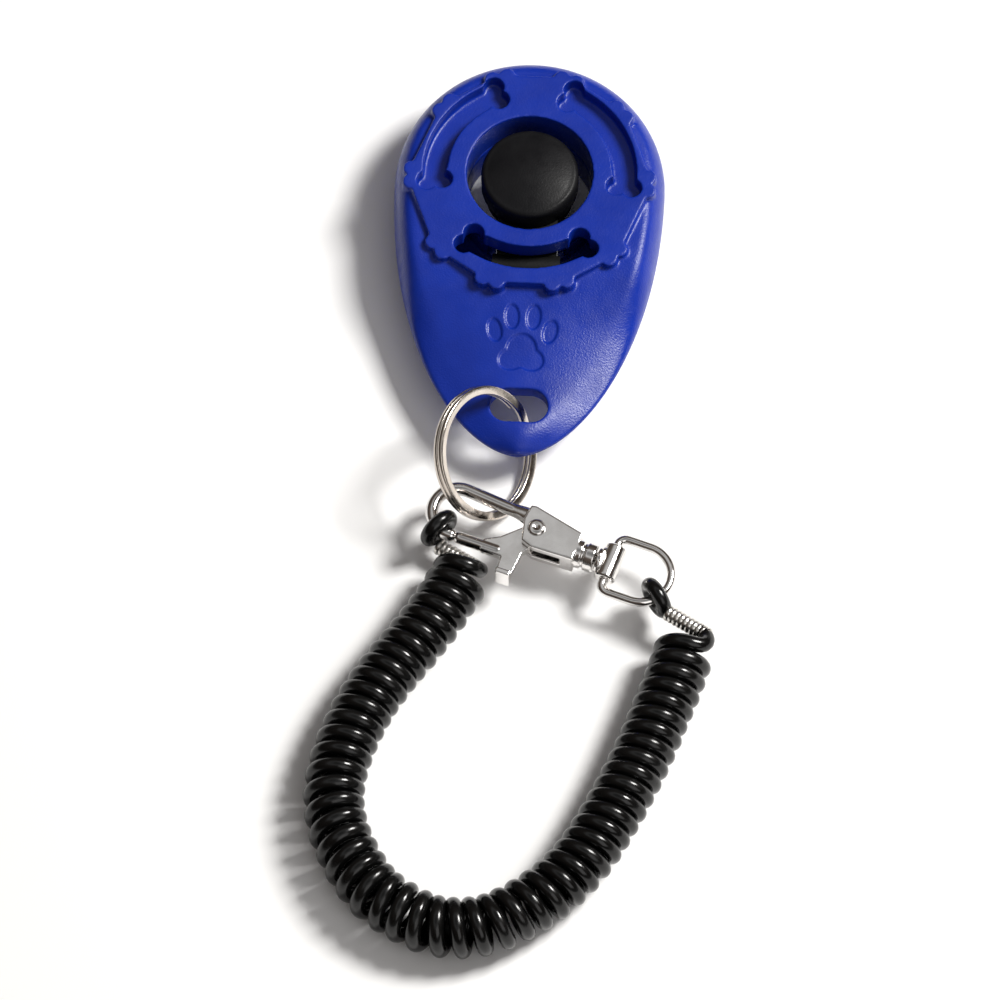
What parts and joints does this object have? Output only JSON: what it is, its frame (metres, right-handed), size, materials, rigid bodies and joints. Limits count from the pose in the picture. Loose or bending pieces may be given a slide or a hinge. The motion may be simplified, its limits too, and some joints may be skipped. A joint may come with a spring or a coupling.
{
  "type": "clicker trainer",
  "caption": "Teardrop dog-training clicker with a round thumb button, on a split key ring with a trigger snap clasp and a coiled wrist strap.",
  "frame": {"origin": "on the thumb button's axis, at the height of the flat back plateau that the clicker rests on", "axes": "+Z out of the clicker's front face, along the button's axis; +Y from the button towards the shell's round end, away from the key ring and strap; +X to the right, seen from the front"},
  "size_m": [0.0648, 0.158, 0.0179],
  "materials": {
    "shell": "royal blue moulded plastic, satin with a fine spark texture",
    "button": "black satin plastic",
    "mechanism": "black plain moulded plastic",
    "spring_steel": "cold-rolled spring steel",
    "ring_metal": "nickel plate with fine scuffs",
    "clasp_metal": "nickel-plated die casting, softly polished",
    "strap": "glossy black flexible plastic cord"
  },
  "bodies": {
    "clicker": {"front_shell": "shell", "back_shell": "shell", "click_plate": "spring_steel", "plate_clamp": "mechanism", "clamp_screws": "spring_steel", "pivot_pin": "spring_steel"},
    "button": {"button_cap": "button", "button_lever": "mechanism"},
    "ring": {"split_ring": "ring_metal"},
    "clasp": {"clasp_body": "clasp_metal", "trigger_rivet": "clasp_metal", "trigger_spring": "spring_steel", "wrist_coil": "strap", "cord_eye_left": "strap", "crimp_left": "ring_metal"},
    "trigger": {"clasp_trigger": "clasp_metal"},
    "swivel": {"swivel_post": "clasp_metal", "swivel_loop": "ring_metal", "cord_eye_right": "strap", "crimp_right": "ring_metal"}
  },
  "joints": [
    {"name": "button_press", "type": "hinge", "parent": "clicker", "child": "button", "pos_m": [0, -0.0144, 0.008], "axis": [-1, 0, 0], "range_deg": [0, 6], "stiffness_Nm_per_rad": 0.6, "springref_deg": -1.72, "deforming": ["click_plate"]},
    {"name": "ring_swing", "type": "hinge", "parent": "clicker", "child": "ring", "pos_m": [0.0009, -0.0405, 0.007], "axis": [0, 0, 1], "range_deg": [-12, 12]},
    {"name": "clasp_swing", "type": "hinge", "parent": "ring", "child": "clasp", "pos_m": [-0.0086, -0.0573, 0.0063], "axis": [0, 0, 1], "range_deg": [-8, 8]},
    {"name": "trigger_open", "type": "hinge", "parent": "clasp", "child": "trigger", "pos_m": [0.00384, -0.06146, 0.0063], "axis": [0, 0, -1], "range_deg": [0, 7.5], "stiffness_Nm_per_rad": 0.05, "springref_deg": -11.46},
    {"name": "swivel_turn", "type": "hinge", "parent": "clasp", "child": "swivel", "pos_m": [0.01078, -0.06455, 0.0063], "axis": [-0.9511, 0.309, 0], "range_deg": [0, 40]}
  ]
}
